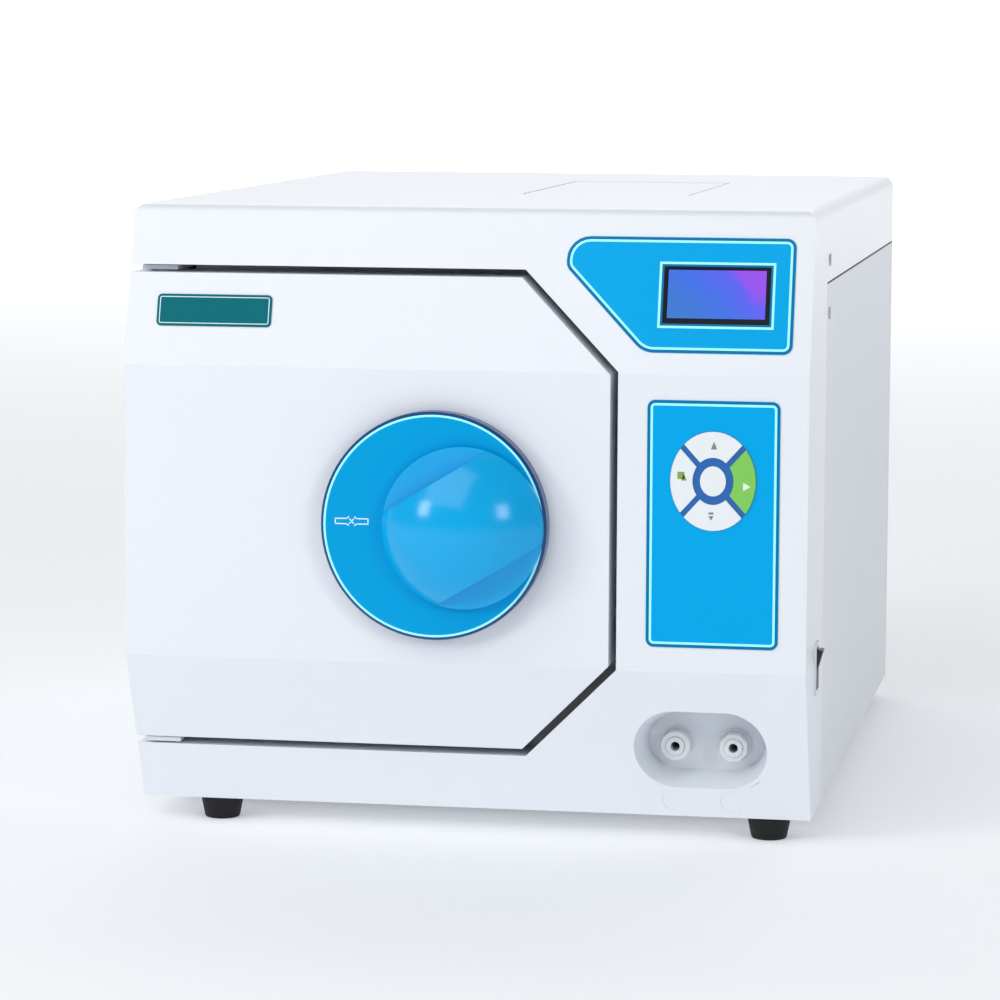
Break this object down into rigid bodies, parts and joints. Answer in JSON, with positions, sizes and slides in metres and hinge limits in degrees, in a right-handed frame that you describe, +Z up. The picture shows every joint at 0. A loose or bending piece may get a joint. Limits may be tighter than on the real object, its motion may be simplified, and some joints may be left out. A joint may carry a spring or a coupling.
{
  "type": "benchtop autoclave",
  "caption": "Benchtop steam autoclave with a side-hinged round-knob door, display, keypad, drain well, chamber and trays.",
  "frame": {"origin": "on the table, under the middle of the machine's overall box", "axes": "+Z up, +X to the viewer's right, the front faces -Y"},
  "size_m": [0.451, 0.714, 0.41],
  "materials": {
    "white_moulding": "satin",
    "white_panel": "satin",
    "steel_sheet": "brushed",
    "stainless": "satin",
    "dark_steel": "matt",
    "foot_rubber": "matt",
    "fastener": "satin",
    "blue_film": "gloss",
    "display_glass": "gloss",
    "display_module": "matt",
    "key_white": "satin",
    "key_green": "satin",
    "circuit_board": "satin",
    "coupler_black": "satin",
    "sleeve_white": "satin",
    "hose": "matt",
    "heater": "matt",
    "insulation": "matt",
    "aluminium": "satin",
    "seal_silicone": "matt",
    "knob_blue": "gloss",
    "brass": "satin",
    "badge": "gloss",
    "tank_plastic": "matt",
    "pump_grey": "satin",
    "black_plastic": "satin",
    "red_plastic": "satin"
  },
  "bodies": {
    "cabinet": {"front_bezel": "white_moulding", "left_side_panel": "white_panel", "right_side_panel": "white_panel", "top_cover": "white_moulding", "rear_panel": "white_panel", "base_tray": "steel_sheet", "front_frame": "dark_steel", "feet": "foot_rubber", "screws": "fastener", "display_overlay": "blue_film", "lcd_window": "display_glass", "lcd_module": "display_module", "keypad_overlay": "blue_film", "control_board": "circuit_board", "drain_well": "white_moulding", "drain_couplers": "coupler_black", "drain_hoses": "hose", "chamber": "stainless", "flange_bolts": "fastener", "heater_band": "heater", "insulation_jacket": "insulation", "chamber_saddles": "dark_steel", "tray_rack": "stainless", "trays": "aluminium", "hinge_brackets": "white_panel", "lock_keeper": "dark_steel", "water_tank": "tank_plastic", "waste_tank": "tank_plastic", "water_pump": "pump_grey", "vacuum_pump": "pump_grey", "valve_block": "brass", "condenser": "aluminium", "cooling_fan": "black_plastic", "mains_board": "circuit_board", "mains_inlet": "black_plastic", "power_switch_body": "black_plastic", "safety_valve": "brass", "rear_fittings": "stainless"},
    "door": {"door_cover": "white_moulding", "door_frame": "dark_steel", "door_back_cover": "white_moulding", "pressure_plate": "stainless", "door_seal": "seal_silicone", "escutcheon": "knob_blue", "lock_guides": "brass", "brand_plate": "badge"},
    "knob": {"knob": "knob_blue", "lock_cam": "steel_sheet"},
    "lock_slide": {"lock_slide": "steel_sheet"},
    "key_up": {"key_up": "key_white"},
    "key_left": {"key_left": "key_white"},
    "key_right": {"key_right": "key_green"},
    "key_down": {"key_down": "key_white"},
    "key_centre": {"key_centre": "key_white"},
    "power_rocker": {"power_rocker": "black_plastic"},
    "release_sleeve_left": {"release_sleeve_left": "coupler_black"},
    "release_sleeve_right": {"release_sleeve_right": "sleeve_white"},
    "filling_lid": {"filling_lid": "white_moulding"},
    "fan_rotor": {"fan_rotor": "black_plastic"},
    "safety_valve_cap": {"safety_valve_cap": "red_plastic"}
  },
  "joints": [
    {"name": "door_hinge", "type": "hinge", "parent": "cabinet", "child": "door", "pos_m": [-0.2055, -0.274, 0.2125], "axis": [0, 0, -1], "range_deg": [0, 105]},
    {"name": "knob_turn", "type": "hinge", "parent": "door", "child": "knob", "pos_m": [0.004, -0.312, 0.208], "axis": [0, 1, 0], "range_deg": [0, 120]},
    {"name": "lock_slide_travel", "type": "slide", "parent": "door", "child": "lock_slide", "axis": [1, 0, 0], "range_m": [0, 0.02]},
    {"name": "key_up_press", "type": "slide", "parent": "cabinet", "child": "key_up", "axis": [0, 1, 0], "range_m": [0, 0.0005], "stiffness_N_per_m": 2000},
    {"name": "key_left_press", "type": "slide", "parent": "cabinet", "child": "key_left", "axis": [0, 1, 0], "range_m": [0, 0.0005], "stiffness_N_per_m": 2000},
    {"name": "key_right_press", "type": "slide", "parent": "cabinet", "child": "key_right", "axis": [0, 1, 0], "range_m": [0, 0.0005], "stiffness_N_per_m": 2000},
    {"name": "key_down_press", "type": "slide", "parent": "cabinet", "child": "key_down", "axis": [0, 1, 0], "range_m": [0, 0.0005], "stiffness_N_per_m": 2000},
    {"name": "key_centre_press", "type": "slide", "parent": "cabinet", "child": "key_centre", "axis": [0, 1, 0], "range_m": [0, 0.0005], "stiffness_N_per_m": 2000},
    {"name": "power_rocker_tilt", "type": "hinge", "parent": "cabinet", "child": "power_rocker", "pos_m": [0.2205, -0.2445, 0.1118], "axis": [0, -1, 0], "range_deg": [0, 16]},
    {"name": "release_sleeve_left_push", "type": "slide", "parent": "cabinet", "child": "release_sleeve_left", "axis": [0, 1, 0], "range_m": [0, 0.0025], "stiffness_N_per_m": 400},
    {"name": "release_sleeve_right_push", "type": "slide", "parent": "cabinet", "child": "release_sleeve_right", "axis": [0, 1, 0], "range_m": [0, 0.0025], "stiffness_N_per_m": 400},
    {"name": "filling_lid_hinge", "type": "hinge", "parent": "cabinet", "child": "filling_lid", "pos_m": [0.0555, 0.161, 0.408], "axis": [-1, 0, 0], "range_deg": [0, 100]},
    {"name": "fan_spin", "type": "hinge", "parent": "cabinet", "child": "fan_rotor", "pos_m": [0.1575, 0.313, 0.083], "axis": [0, 1, 0], "continuous": true},
    {"name": "safety_valve_pull", "type": "slide", "parent": "cabinet", "child": "safety_valve_cap", "axis": [0, 1, 0], "range_m": [0, 0.003], "stiffness_N_per_m": 500}
  ],
  "couplings": [
    {"joint": "lock_slide_travel", "follows": "knob_turn", "m_per_rad": 0.0095493}
  ]
}
